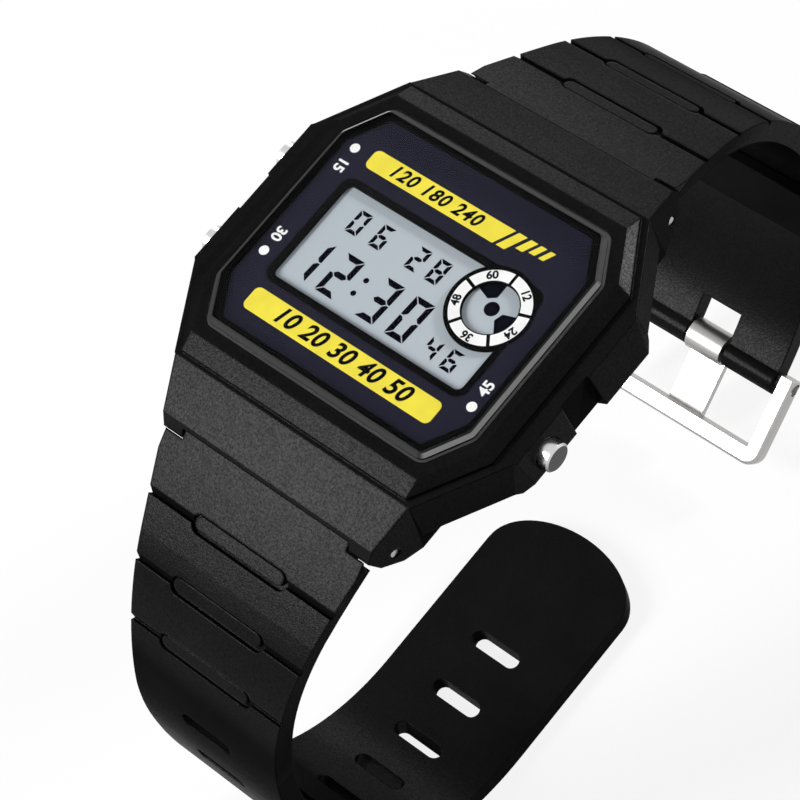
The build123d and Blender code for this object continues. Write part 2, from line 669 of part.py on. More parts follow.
def case_back():
    plate = prism(back_outline(), 0, CASE_FOOT_Z)
    plate = chamfer(plate.faces().sort_by(Axis.Z)[0].edges(), length=BACK_EDGE_CHAMFER)
    ring = grown(back_outline(), OVERRUN) - grown(back_outline(), -BACK_PANEL_MARGIN)
    plate -= prism(ring, -OVERRUN, BACK_PANEL_STEP)
    for x, y in screw_places():
        plate -= Pos(x, y, 0) * Cylinder(SCREW_RADIUS + SCREW_FIT, 4 * CASE_FOOT_Z)
        head_room = BACK_PANEL_STEP + SCREW_HEAD_HEIGHT
        plate -= Pos(x, y, head_room / 2) * Cylinder(SCREW_HEAD_RADIUS + SCREW_FIT, head_room)
    return plate


def back_gasket():
    ring = grown(cavity_outline(), GASKET_WIDTH) - grown(cavity_outline(), GASKET_FIT)
    return prism(ring, CASE_FOOT_Z, CASE_FOOT_Z + GASKET_THICKNESS)


def back_screws():
    upward = (Align.CENTER, Align.CENTER, Align.MIN)
    screws = []
    for x, y in screw_places():
        screw = Cylinder(SCREW_HEAD_RADIUS, SCREW_HEAD_HEIGHT, align=upward)
        screw -= Box(2 * SCREW_HEAD_RADIUS, SCREW_SLOT_WIDTH, 2 * SCREW_SLOT_DEPTH)
        screw += Pos(0, 0, SCREW_HEAD_HEIGHT) * Cylinder(
            SCREW_RADIUS, SCREW_LENGTH - SCREW_HEAD_HEIGHT, align=upward)
        screws.append(Pos(x, y, BACK_PANEL_STEP) * screw)
    return Compound(children=screws)


# Buttons

def button(side, y):
    head = rod(BUTTON_HEAD_RADIUS, side * BUTTON_HEAD_X, side * BUTTON_FACE_X, y, BUTTON_Z)
    rim = head.edges().filter_by(GeomType.CIRCLE).sort_by(Axis.X)[-1 if side > 0 else 0]
    head = chamfer(rim, length=BUTTON_EDGE_CHAMFER)
    stem = rod(STEM_RADIUS, side * STEM_END_X, side * BUTTON_HEAD_X, y, BUTTON_Z)
    groove_x = (side * RETAINER_X, side * (RETAINER_X + RETAINER_THICKNESS))
    stem -= rod(STEM_RADIUS + OVERRUN, *groove_x, y, BUTTON_Z)
    stem += rod(STEM_GROOVE_RADIUS, *groove_x, y, BUTTON_Z)
    return head + stem


def button_retainer(side, y):
    """An open clip in the stem's groove."""
    clip_x = (side * RETAINER_X, side * (RETAINER_X + RETAINER_THICKNESS))
    ring = rod(RETAINER_RADIUS, *clip_x, y, BUTTON_Z)
    ring -= rod(STEM_GROOVE_RADIUS, *clip_x, y, BUTTON_Z)
    mouth = STEM_GROOVE_RADIUS
    ring -= block(sorted(clip_x), (y - mouth, y + mouth), (BUTTON_Z, BUTTON_Z + 2 * RETAINER_RADIUS))
    return ring


def button_spring(side, y):
    """A coil between the pocket's seal and the button's head."""
    start = POCKET_FLOOR_X + SEAL_SECTION + BUTTON_SPRING_END_GAP
    length = BUTTON_HEAD_X - BUTTON_SPRING_END_GAP - start
    spring = coil(BUTTON_SPRING_RADIUS, BUTTON_SPRING_WIRE, BUTTON_SPRING_TURNS, length)
    return Pos(side * start, y, BUTTON_Z) * Rot(0, side * 90, 0) * spring


def button_seals():
    seals = []
    for _, side, y in button_places():
        seal_x = (side * POCKET_FLOOR_X, side * (POCKET_FLOOR_X + SEAL_SECTION))
        inner = STEM_RADIUS + STEM_FIT
        ring = rod(inner + SEAL_SECTION, *seal_x, y, BUTTON_Z)
        seals.append(ring - rod(inner, *seal_x, y, BUTTON_Z))
    return Compound(children=seals)


# Spring bars

def spring_bar(end):
    """end is +1 at 12 o'clock and -1 at 6 o'clock."""
    half_length = LUG_GAP_HALF_X - BAR_END_GAP
    bar = rod(BAR_RADIUS, -half_length, half_length, end * BAR_Y, BAR_Z)
    tip_x = lug_side_x(BAR_Y, BAR_Z) - BAR_TIP_SETBACK
    return bar + rod(BAR_TIP_RADIUS, -tip_x, tip_x, end * BAR_Y, BAR_Z)


# Strap. A half is drawn at 12 o'clock with the spring bar at (0, 0) of the side view.
# A leg is a stretch of the outer surface, given as its length and how far it turns down.

def top_start():
    """Where the outer surface leaves the round end at the spring bar."""
    angle = math.radians(STRAP_ANGLE)
    return (TONGUE_RADIUS * math.sin(angle), TONGUE_RADIUS * math.cos(angle))


def station(legs, distance):
    """Point and downward angle of the outer surface, distance past the shoulder."""
    x, y = top_start()
    angle = math.radians(STRAP_ANGLE)
    x += SHOULDER_REACH * math.cos(angle)
    y -= SHOULDER_REACH * math.sin(angle)
    for run, turn in legs:
        part = min(run, distance)
        bend = math.radians(turn) * part / run
        if bend:
            radius = part / bend
            x += radius * (math.sin(angle + bend) - math.sin(angle))
            y += radius * (math.cos(angle + bend) - math.cos(angle))
        else:
            x += part * math.cos(angle)
            y -= part * math.sin(angle)
        angle += bend
        distance -= part
    return (x, y), angle


def under(point, angle, depth):
    """The point moved inward from the outer surface by depth."""
    return (point[0] - depth * math.sin(angle), point[1] - depth * math.cos(angle))


def arc_or_line(legs, start, end, depth):
    """One leg's edge at a depth under the outer surface."""
    first, middle, last = [
        under(*station(legs, at), depth) for at in (start, (start + end) / 2, end)]
    curved = station(legs, end)[1] - station(legs, start)[1]
    return ThreePointArc(first, middle, last) if curved else Line(first, last)


def strap_band(legs):
    """Side view of a strap half without its round end."""
    ends = [0.0]
    for run, _ in legs:
        ends.append(ends[-1] + run)
    outer = [arc_or_line(legs, a, b, 0) for a, b in zip(ends, ends[1:])]
    inner = [arc_or_line(legs, a, b, STRAP_THICKNESS) for a, b in zip(ends[1:], ends[2:])]
    shoulder = station(legs, 0)
    root_under = under(*shoulder, STRAP_ROOT_THICKNESS)
    run_under = under(*station(legs, ends[1]), STRAP_THICKNESS)
    tip = station(legs, ends[-1])
    edges = [Line((0, 0), top_start()), Line(top_start(), shoulder[0]), *outer]
    edges += [Line(tip[0], under(*tip, STRAP_THICKNESS)), *inner]
    edges += [Line(run_under, root_under), Line(root_under, (0, 0))]
    return side_face(edges)


def strap_widths():
    """Front view of a strap half: it narrows fast below the shoulder, then slowly."""
    top = TONGUE_RADIUS + OVERRUN
    right = [Line((SHOULDER_HALF_X, top), (SHOULDER_HALF_X, 0)),
             ThreePointArc((SHOULDER_HALF_X, 0), (WAIST_HALF_X, -WAIST_DROP),
                           (BELLY_HALF_X, -BELLY_DROP)),
             Line((BELLY_HALF_X, -BELLY_DROP), (STRAP_END_HALF_X, -STRAP_END_DROP))]
    half = right + [Line((STRAP_END_HALF_X, -STRAP_END_DROP), (0, -STRAP_END_DROP)),
                    Line((0, -STRAP_END_DROP), (0, top)), Line((0, top), (SHOULDER_HALF_X, top))]
    face = make_face(half)
    face += mirror(face, about=Plane.YZ)
    reach = STRAP_END_DROP + TONGUE_RADIUS
    front = Plane(origin=(0, reach, 0), x_dir=(1, 0, 0), z_dir=(0, -1, 0)) * face
    return extrude(front, amount=2 * reach, dir=(0, -1, 0))


def on_strap(legs, distance, depth=0.0):
    """Frame on the outer surface: X across, Y along the strap, Z outward."""
    point, angle = station(legs, distance)
    x, y = under(point, angle, depth)
    outward = (0, math.sin(angle), math.cos(angle))
    return Plane(origin=(0, x, y), x_dir=(1, 0, 0), z_dir=outward)


def link_cutter():
    """The step between two links, round a bar with rounded ends."""
    notch = Polyline((-LINK_BEVEL, 0), (0, -LINK_STEP), (0, OVERRUN), (-LINK_BEVEL, OVERRUN),
                     close=True)
    cutter = extrude(side_face(notch), amount=SHOULDER_HALF_X + OVERRUN, both=True)
    pill_length = 2 * PILL_HALF_LENGTH
    moat = SlotOverall(pill_length + 2 * PILL_MOAT, PILL_WIDTH + PILL_MOAT + PILL_GROOVE)
    moat_y = -PILL_SHIFT + (PILL_MOAT - PILL_GROOVE) / 2
    cutter += prism(Pos(0, moat_y) * moat, -LINK_STEP, OVERRUN)
    pill = SlotOverall(pill_length, PILL_WIDTH)
    return cutter - prism(Pos(0, -PILL_SHIFT) * pill, -LINK_STEP - OVERRUN, 2 * OVERRUN)


def strap_half(legs):
    """A strap half with its links, before its end is finished."""
    band = extrude(strap_band(legs), amount=SHOULDER_HALF_X, both=True) & strap_widths()
    clear = rod(SHOULDER_CLEAR_RADIUS, -SHOULDER_HALF_X, SHOULDER_HALF_X, 0, 0)
    clear -= rod(SHOULDER_CLEAR_RADIUS + OVERRUN, -TONGUE_HALF_X, TONGUE_HALF_X, 0, 0)
    band -= clear
    band += rod(TONGUE_RADIUS, -TONGUE_HALF_X, TONGUE_HALF_X, 0, 0)
    for index in range(LINK_COUNT):
        band -= on_strap(legs, FIRST_LINK_AT + index * LINK_PITCH) * link_cutter()
    bore = rod(BAR_RADIUS + BAR_FIT, -SHOULDER_HALF_X, SHOULDER_HALF_X, 0, 0)
    return band - bore


def to_watch(shape, end, rest_angle=0.0):
    """Puts a piece of a strap half, drawn about its spring bar, in its place on the watch."""
    placed = Pos(0, BAR_Y, BAR_Z) * Rot(rest_angle, 0, 0) * shape
    return placed if end > 0 else mirror(placed, about=Plane.XZ)


def main_legs():
    return [(FIRST_RUN, FIRST_BEND_ANGLE), (BEND_RUN, MAIN_BEND_ANGLE)]


def lower_legs():
    return main_legs() + [(LOWER_SIDE_RUN, LOWER_SIDE_ANGLE), (LOWER_CURL_RUN, LOWER_CURL_ANGLE),
                          (LOWER_TAIL_RUN, 0.0)]


def upper_legs():
    return main_legs() + [(UPPER_CURL_RUN, UPPER_CURL_ANGLE)]


def strap_lower():
    legs = lower_legs()
    length = sum(run for run, _ in legs)
    half = strap_half(legs)
    slot = prism(SlotOverall(SLOT_LENGTH, SLOT_WIDTH), -STRAP_THICKNESS - OVERRUN, OVERRUN)
    at = FIRST_SLOT_AT
    while at < length - LAST_SLOT_END_GAP:
        half -= on_strap(legs, at) * slot
        at += SLOT_PITCH
    tip = Rectangle(2 * SHOULDER_HALF_X, 2 * TAIL_TIP_LENGTH) - Pos(0, -TAIL_TIP_LENGTH) * Ellipse(
        STRAP_END_HALF_X, TAIL_TIP_LENGTH)
    tip -= Pos(0, -TAIL_TIP_LENGTH * 2) * Rectangle(2 * SHOULDER_HALF_X, 2 * TAIL_TIP_LENGTH)
    half -= on_strap(legs, length) * prism(tip, -STRAP_THICKNESS - OVERRUN, OVERRUN)
    return to_watch(half, -1)


def strap_upper():
    legs = upper_legs()
    length = sum(run for run, _ in legs)
    end = on_strap(legs, length, PIN_DEPTH)
    half = strap_half(legs)
    half += end * rod(PIN_BARREL_RADIUS, -STRAP_END_HALF_X, STRAP_END_HALF_X, 0, 0)
    half -= end * rod(PIN_RADIUS, -SHOULDER_HALF_X, SHOULDER_HALF_X, 0, 0)
    slot_half = TANG_WIDTH / 2 + TANG_SLOT_FIT
    half -= end * block((-slot_half, slot_half), (-TANG_SLOT_DEPTH, TANG_SLOT_DEPTH),
                        (-TANG_SLOT_DEPTH, TANG_SLOT_DEPTH))
    return to_watch(half, 1, UPPER_REST_ANGLE)


# Buckle. Each piece is drawn about the buckle pin: X across, Y along the strap, Z outward.

def to_buckle(shape):
    legs = upper_legs()
    length = sum(run for run, _ in legs)
    return to_watch(on_strap(legs, length, PIN_DEPTH) * shape, 1, UPPER_REST_ANGLE)


def buckle_pin():
    half = BUCKLE_OUTER_X - BUCKLE_EDGE_ROUND
    return to_buckle(rod(PIN_RADIUS, -half, half, 0, 0))


def buckle_frame():
    half_thickness = BUCKLE_THICKNESS / 2
    length = BUCKLE_LENGTH + half_thickness
    middle = (BUCKLE_LENGTH - half_thickness) / 2
    outer = Pos(0, middle) * Rectangle(2 * BUCKLE_OUTER_X, length)
    outer = fillet(outer.vertices().group_by(Axis.Y)[-1], BUCKLE_CORNER_ROUND)
    inner_length = BUCKLE_LENGTH - BUCKLE_BAR_WIDTH
    inner = Rectangle(2 * BUCKLE_INNER_X, 2 * inner_length)
    solid = prism(outer - inner, -half_thickness, half_thickness)
    solid = fillet(solid.edges().filter_by(Axis.X).group_by(Axis.Y)[-1], BUCKLE_EDGE_ROUND)
    solid -= rod(PIN_RADIUS + PIN_FIT, -BUCKLE_OUTER_X, BUCKLE_OUTER_X, 0, 0)
    return to_buckle(solid)


def buckle_tang():
    half_width = TANG_WIDTH / 2
    low = BUCKLE_THICKNESS / 2 + TANG_REST_GAP
    high = low + TANG_THICKNESS
    reach = BUCKLE_LENGTH + TANG_OVERHANG
    solid = block((-half_width, half_width), (0, reach), (low, high))
    solid = fillet(solid.edges().filter_by(Axis.Z).group_by(Axis.Y)[-1], TANG_TIP_ROUND)
    solid += rod(high, -half_width, half_width, 0, 0)
    solid -= rod(PIN_RADIUS + PIN_FIT, -half_width, half_width, 0, 0)
    return to_buckle(solid)


def strap_keeper():
    inner_x = STRAP_END_HALF_X + KEEPER_SIDE_GAP
    low = -STRAP_THICKNESS - KEEPER_INNER_GAP
    middle = (KEEPER_OUTER_GAP + low) / 2
    hole = Rectangle(2 * inner_x, KEEPER_OUTER_GAP - low)
    ring = RectangleRounded(2 * (inner_x + KEEPER_WALL), KEEPER_OUTER_GAP - low + 2 * KEEPER_WALL,
                            KEEPER_CORNER_ROUND) - hole
    across = Plane(origin=(0, -KEEPER_LENGTH / 2, middle), x_dir=(1, 0, 0), z_dir=(0, -1, 0))
    solid = extrude(across * ring, amount=KEEPER_LENGTH, dir=(0, 1, 0))
    return to_watch(on_strap(upper_legs(), KEEPER_AT) * solid, 1, UPPER_REST_ANGLE)


def pieces():
    named = {
        "case": case(), "glass": glass(), "glass_seal": glass_seal(), "dial_panel": dial_panel(),
        "display": display(), "light_guide": light_guide(), "contact_strip_upper": contact_strip(1),
        "contact_strip_lower": contact_strip(-1), "lamp": lamp(),
        "movement_frame": movement_frame(), "circuit_board": circuit_board(),
        "quartz_can": quartz_can(), "battery": battery(), "battery_clip": battery_clip(),
        "battery_holder": battery_holder(), "buzzer_disc": buzzer_disc(),
        "buzzer_spring": buzzer_spring(), "switch_contacts": switch_contacts(),
        "case_back": case_back(), "back_gasket": back_gasket(), "back_screws": back_screws(),
        "button_seals": button_seals(), "spring_bar_upper": spring_bar(1),
        "spring_bar_lower": spring_bar(-1), "strap_upper": strap_upper(),
        "strap_lower": strap_lower(), "buckle_pin": buckle_pin(), "buckle_frame": buckle_frame(),
        "buckle_tang": buckle_tang(), "strap_keeper": strap_keeper()}
    for name, side, y in button_places():
        named[name] = button(side, y)
        named[f"{name}_retainer"] = button_retainer(side, y)
        named[f"{name}_spring"] = button_spring(side, y)
    return named


os.makedirs("parts", exist_ok=True)
for name, shape in pieces().items():
    export_step(shape, f"parts/{name}.step")
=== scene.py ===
import bmesh
import bpy
import json
import math
from mathutils import Matrix, Vector


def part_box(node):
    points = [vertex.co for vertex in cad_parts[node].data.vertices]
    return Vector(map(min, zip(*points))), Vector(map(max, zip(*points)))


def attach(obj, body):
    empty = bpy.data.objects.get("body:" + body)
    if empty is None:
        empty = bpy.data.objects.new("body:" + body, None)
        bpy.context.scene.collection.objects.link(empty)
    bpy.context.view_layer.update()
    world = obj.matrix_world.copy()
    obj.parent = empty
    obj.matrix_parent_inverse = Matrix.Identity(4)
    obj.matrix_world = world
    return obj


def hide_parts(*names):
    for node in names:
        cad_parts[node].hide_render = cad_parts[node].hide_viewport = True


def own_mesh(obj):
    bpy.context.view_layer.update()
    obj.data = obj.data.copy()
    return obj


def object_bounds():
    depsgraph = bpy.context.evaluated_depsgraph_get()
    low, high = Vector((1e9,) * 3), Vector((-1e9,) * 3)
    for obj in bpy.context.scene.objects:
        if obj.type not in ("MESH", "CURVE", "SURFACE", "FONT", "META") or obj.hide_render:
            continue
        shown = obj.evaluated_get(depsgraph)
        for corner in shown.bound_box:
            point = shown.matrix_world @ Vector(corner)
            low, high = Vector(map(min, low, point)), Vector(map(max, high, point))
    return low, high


# A digital wristwatch, unbuckled and standing on its lower strap half. Names that end in _MM hold
# millimetres, and other lengths are in metres. Angles are in degrees.

MM = 0.001

# Camera, solved from the dial in the photograph
CAMERA_PLACE_MM = (115.55, -60.88, 201.85)
CAMERA_RIGHT = (0.73847, 0.62797, -0.24559)
CAMERA_UP = (-0.47660, 0.74376, 0.46870)
CAMERA_LENS_MM = 132.71
CAMERA_SENSOR_MM = 36.0
CAMERA_CLIP_START = 0.01

# Lamps, which face the origin. Each: the way to it, its width, its length, its power, and the way
# that its long side follows as nearly as it can.
LAMP_DISTANCE = 0.8
UPRIGHT = (0.0, 0.0, 1.0)
LAMPS = {
    "key": ((-0.477, -0.653, 0.588), 0.16, 0.44, 6.8, (0.0, 0.67, 0.74)),
    "left": ((-0.57, 0.78, 0.28), 0.3, 0.3, 1.1, UPRIGHT),
    "back": ((0.425, 0.838, 0.345), 0.1, 0.13, 3.6, UPRIGHT),
}

# Stage. The world lights the watch less than it shows.
WORLD_WHITE = (1.0, 1.0, 1.0, 1.0)
WORLD_LIGHT = 0.22
WORLD_SEEN = 1.0
FLOOR_HALF = 1.5
FLOOR_WHITE = (0.9, 0.9, 0.9, 1.0)
FLOOR_ROUGHNESS = 0.9
FLOOR_GLOW = 1.0
FLOOR_GLOW_SHARE = 0.85

# Printed plates over the dial panel. Their places are those seen through the glass, which raises
# what lies under it, so the plates are moved by DIAL_SHIFT_MM to show there. An octagon is given by
# its half width, its half length, and how far its corners are cut along each.
DIAL_SHIFT_MM = (-0.17, 0.09)
PRINT_STEP_MM = 0.012
PRINT_OCTAGON_MM = (12.74, 10.77, 2.12, 3.45)
WINDOW_X_MM = (-9.81, 10.31)
WINDOW_Y_MM = (-5.56, 4.34)
WINDOW_BORDER_MM = 0.64
WINDOW_ROUND_MM = 1.1
RING_CENTRE_MM = (7.64, 1.57)
RING_BLACK_MM = 3.82
RING_OUTER_MM = 3.43
RING_INNER_MM = 2.46
RING_SPOKE_MM = 0.3
RING_PARTS = 5
LOWER_BAR_X_MM = (-9.98, 10.05)
LOWER_BAR_Y_MM = (-9.22, -7.03)
UPPER_BAR_X_MM = (-9.9, 4.98)
UPPER_BAR_Y_MM = (6.24, 8.12)
BAR_ROUND_MM = 0.55
BAR_SLANT = 0.54
# Each stripe: its left edge at the top, its width and its lowest height
STRIPES_MM = [(5.31, 0.87, 6.28), (6.56, 0.72, 6.86), (7.61, 0.6, 7.1), (8.6, 0.52, 7.1)]
DOT_RADIUS_MM = 0.44
DOTS_MM = [(-11.63, 7.17), (-11.78, -4.3), (12.01, -6.02)]

# Plain numbers in the places of the dial's lettering. On a bar: the text, its size and its spread.
NUMBER_WEIGHT = 0.03
BAR_NUMBER_SLANT = 0.3
UPPER_NUMBERS = ("120 180 240", 1.65, 1.15)
UPPER_NUMBERS_X_MM = -2.9
LOWER_NUMBERS = ("10 20 30 40 50", 2.1, 1.1)
LOWER_NUMBERS_X_MM = 0.0
BUTTON_NUMBERS = ("15", "30", "45")
BUTTON_NUMBER_SIZE_MM = 1.35
BUTTON_NUMBER_AWAY_MM = 1.85
RING_NUMBERS = ("12", "60", "48", "36", "24")
RING_NUMBER_SIZE_MM = 1.0

# Marks on the display, which lies deeper than the print
DISPLAY_SHIFT_MM = (-0.19, 0.18)
DIGIT_SLANT = 0.05
DIGIT_GAP_MM = 0.07
# Each group: its digits with their left edges, the top edge, and the digits' width, height, stroke
DIGIT_GROUPS = [
    ([("1", -8.93), ("2", -5.8), ("3", -1.47), ("0", 1.72)], -0.7, (1.97, 4.06, 0.52)),
    ([("0", -7.4), ("6", -4.85), ("2", -0.98), ("8", 1.2)], 3.0, (1.27, 2.25, 0.34)),
    ([("4", 5.27), ("6", 7.35)], -2.8, (1.22, 1.95, 0.31)),
]
SEGMENTS = {"0": "abcdef", "1": "bc", "2": "abged", "3": "abgcd", "4": "fgbc", "6": "afgedc",
            "8": "abcdefg"}
COLON_MM = [(-2.77, -1.9), (-2.93, -3.35)]
COLON_RADIUS_MM = 0.25
DARK_SECTORS = (0, 3)
SECTOR_INNER_MM = 1.07
SECTOR_EDGE_GAP_MM = 0.26
CENTRE_DOT_MM = 0.65

# Edge of the glass: its outline, the round of its corners, and its bevel
GLASS_OCTAGON_MM = (13.74, 11.74, 2.28, 3.82)
GLASS_ROUND_MM = 0.9
GLASS_BEVEL_MM = 0.42
EDGE_LIFT_MM = 0.01

# Button springs, whose ends are those of the CAD springs that they stand for
SPRING_WIRE_MM = 0.15
SPRING_TURNS = 2.5
SPRING_STEPS = 60
SPRING_SIDES = 8
BUTTONS = ("light_button", "mode_button", "adjust_button")

# Steps of the round shapes
ARC_STEPS = 12
CIRCLE_STEPS = 48
CORNER_STEPS = 8
GLASS_CORNER_STEPS = 6
COLON_STEPS = 16
CENTRE_DOT_STEPS = 32

# A noise is given by its scale in repeats per metre, its detail and its stretch. Most of its values
# lie in NOISE_SPAN.
NOISE_SPAN = (0.3, 0.7)
WHOLE_SPAN = (0.0, 1.0)
UNSTRETCHED = (1.0, 1.0, 1.0)

# Resin: a mottled colour, and a gloss that a fine moulded grain breaks up
RESIN_COLOUR = (0.004, 0.004, 0.004)
RESIN_LIGHTER = 1.4
RESIN_MOTTLE = (180.0, 3.0)
RESIN_SMEAR = (900.0, 4.0)
RESIN_SMOOTHER = 0.03
RESIN_ROUGHER = 0.04
RESIN_SPECULAR = 0.034
RESIN_DULL_SPECULAR = 0.001
GRAIN = (4800.0, 2.0)
GRAIN_GLOSS = (0.55, 1.45)
PITS = (7000.0, 1.0)
PIT_DEPTH = 0.000012
PIT_STRENGTH = 0.8

# Metal, brushed along X
BRUSH = (2500.0, 3.0, (1.0, 12.0, 12.0))
METAL_EDGE = 0.00008
METAL_SMOOTHER = 0.05
METAL_ROUGHER = 0.1
BUTTON_ROUGHNESS = (0.16, 0.3)
# The buttons' greys are painted light and shade: their sides are painted lighter where they face up
# and darker where they face down, and their flat ends are painted dark
BUTTON_END_X = 0.95
BUTTON_END_PAINTED_SHADE = (0.04, 0.04, 0.04, 1.0)
BUTTON_PAINTED_LIGHT_SLOPES = (-0.1, 0.5)
BUTTON_PAINTED_LIGHT_GREYS = (0.07, 0.62)

# Plain plastics, rubber and print
SPECKLE_SCALE = 600.0
SPECKLE_LIGHTER = 1.12
PRINT_ROUGHNESS = 0.45
PRINT_SPECULAR = 0.01
DISPLAY_GREYS = ((0.42, 0.475, 0.515), (0.455, 0.505, 0.545))
DISPLAY_MOTTLE = (60.0, 1.0)
DISPLAY_ROUGHNESS = 0.4
DISPLAY_SPECULAR = 0.05

# Glass, and its ground edge, whose colour holds painted highlights and painted shade
GLASS_IOR = 1.45
GLASS_TINT = (0.01, 0.01, 0.01, 1.0)
EDGE_DARK = 0.025
# Each painted highlight on the edge: the way it faces, the span over which it brightens, and its
# tone
EDGE_PAINTED_HIGHLIGHTS = [((-0.85, 0.52, 0.0), (0.63, 0.69), 0.6), ((0.965, -0.262, 0.0), (0.5, 0.66), 0.27),
               ((0.0, 1.0, 0.0), (0.45, 0.65), 0.055)]
# The upper band of the bevel, near the glass top, is painted dark as painted shade: its tone, and
# the shares of the bevel's height below the top over which the shade fades
EDGE_INNER_PAINTED_SHADE = 0.015
EDGE_INNER_SHADE_SHARES = (0.3, 0.4)
EDGE_ROUGHNESS = (0.35, 0.5)
EDGE_SPECULAR = 0.1
EDGE_MOTTLE_SCALE = 1500.0

BEVEL_SAMPLES = 6


# Shape helpers

def octagon(half_x, half_y, cut_x, cut_y):
    right = [(half_x, cut_y - half_y), (half_x, half_y - cut_y)]
    top = [(half_x - cut_x, half_y), (cut_x - half_x, half_y)]
    return right + top + [(-x, -y) for x, y in right + top]


def arc(centre, radius, start, end, steps=ARC_STEPS):
    """Points from the start angle to the end angle."""
    turns = [math.radians(start + (end - start) * i / steps) for i in range(steps + 1)]
    return [(centre[0] + radius * math.cos(t), centre[1] + radius * math.sin(t)) for t in turns]


def circle(centre, radius, steps=CIRCLE_STEPS):
    return arc(centre, radius, 0, 360, steps)[:-1]


def rounded(x_range, y_range, radius):
    """A rectangle with round corners."""
    (left, right), (low, top) = x_range, y_range
    corners = [(right - radius, top - radius, 0), (left + radius, top - radius, 90),
               (left + radius, low + radius, 180), (right - radius, low + radius, 270)]
    points = []
    for x, y, turn in corners:
        points += arc((x, y), radius, turn, turn + 90, CORNER_STEPS)
    return points


def add_piece(name, mesh, material):
    piece = bpy.data.objects.new(name, mesh)
    bpy.context.scene.collection.objects.link(piece)
    piece.data.materials.clear()
    piece.data.materials.append(material)
    return piece


def plate(name, outlines, low, high, material):
    """Flat plates with the given outlines in millimetres, from height low to high in metres."""
    mesh = bpy.data.meshes.new(name)
    build = bmesh.new()
    for outline in outlines:
        face = build.faces.new([build.verts.new((x * MM, y * MM, low)) for x, y in outline])
        raised = bmesh.ops.extrude_face_region(build, geom=[face])
        lid = [item for item in raised["geom"] if isinstance(item, bmesh.types.BMVert)]
        bmesh.ops.translate(build, verts=lid, vec=(0, 0, high - low))
    bmesh.ops.recalc_face_normals(build, faces=build.faces)
    build.to_mesh(mesh)
    build.free()
    return add_piece(name, mesh, material)


def moved(piece, shift):
    """The piece, moved over the dial by a shift in millimetres."""
    piece.data.transform(Matrix.Translation((shift[0] * MM, shift[1] * MM, 0)))
    return piece


def cut(piece, *cutters):
    """Cuts the cutters out of the piece and removes them."""
    for cutter in cutters:
        step = piece.modifiers.new("cut", "BOOLEAN")
        step.operation = "DIFFERENCE"
        step.solver = "EXACT"
        step.object = cutter
    graph = bpy.context.evaluated_depsgraph_get()
    mesh = bpy.data.meshes.new_from_object(piece.evaluated_get(graph))
    piece.modifiers.clear()
    piece.data = mesh
    for cutter in cutters:
        bpy.data.objects.remove(cutter)
    return piece


# Materials

def math_node(tree, operation, first, second=None):
    """The result of a math node, whose second input is a socket, a number or left alone."""
    made = tree.nodes.new("ShaderNodeMath")
    made.operation = operation
    tree.links.new(first, made.inputs[0])
    if isinstance(second, float):
        made.inputs[1].default_value = second
    elif second is not None:
        tree.links.new(second, made.inputs[1])
    return made.outputs[0]


class Material:
    """A node material that starts with a Principled shader."""

    def __init__(self, name, colour, roughness, metallic=0.0):
        self.material = bpy.data.materials.new(name)
        self.material.use_nodes = True
        self.tree = self.material.node_tree
        self.shader = self.tree.nodes["Principled BSDF"]
        self.shader.inputs["Base Color"].default_value = (*colour, 1.0)
        self.shader.inputs["Roughness"].default_value = roughness
        self.shader.inputs["Metallic"].default_value = metallic
        self.normal = None

    def node(self, kind, **values):
        made = self.tree.nodes.new(kind)
        for key, value in values.items():
            setattr(made, key, value)
        return made

    def link(self, source, target):
        self.tree.links.new(source, target)

    def parts_of(self, source):
        """The X, Y and Z of a vector, by name."""
        split = self.node("ShaderNodeSeparateXYZ")
        self.link(source, split.inputs["Vector"])
        return split.outputs

    def noise(self, scale, detail=2.0, stretch=UNSTRETCHED):
        """A noise in the object's own coordinates."""
        place = self.node("ShaderNodeTexCoord")
        mapping = self.node("ShaderNodeMapping")
        mapping.inputs["Scale"].default_value = stretch
        noise = self.node("ShaderNodeTexNoise")
        noise.inputs["Scale"].default_value = scale
        noise.inputs["Detail"].default_value = detail
        self.link(place.outputs["Object"], mapping.inputs["Vector"])
        self.link(mapping.outputs["Vector"], noise.inputs["Vector"])
        return noise.outputs["Fac"]

    def map_range(self, source, span, results, **values):
        """The source, mapped from a span to the results at its two ends."""
        ramp = self.node("ShaderNodeMapRange", **values)
        for name, value in zip(("From Min", "From Max", "To Min", "To Max"), (*span, *results)):
            ramp.inputs[name].default_value = value
        self.link(source, ramp.inputs["Value"])
        return ramp.outputs["Result"]

    def vary_roughness(self, source, low, high):
        self.link(self.map_range(source, WHOLE_SPAN, (low, high)), self.shader.inputs["Roughness"])

    def vary_colour(self, source, low, high):
        ramp = self.node("ShaderNodeValToRGB")
        for element, position, colour in zip(ramp.color_ramp.elements, NOISE_SPAN, (low, high)):
            element.position = position
            element.color = (*colour, 1.0)
        self.link(source, ramp.inputs["Fac"])
        self.link(ramp.outputs["Color"], self.shader.inputs["Base Color"])

    def mottle(self, source, colour, factor):
        """Varies the colour from its own tone to one that is lighter by the factor."""
        self.vary_colour(source, colour, tuple(min(1.0, value * factor) for value in colour))

    def round_edges(self, radius):
        bevel = self.node("ShaderNodeBevel", samples=BEVEL_SAMPLES)
        bevel.inputs["Radius"].default_value = radius
        self.normal = bevel.outputs["Normal"]
        self.link(self.normal, self.shader.inputs["Normal"])

    def bump(self, source, height, strength):
        bump = self.node("ShaderNodeBump")
        bump.inputs["Distance"].default_value = height
        bump.inputs["Strength"].default_value = strength
        self.link(source, bump.inputs["Height"])
        self.link(self.normal, bump.inputs["Normal"])
        self.link(bump.outputs["Normal"], self.shader.inputs["Normal"])


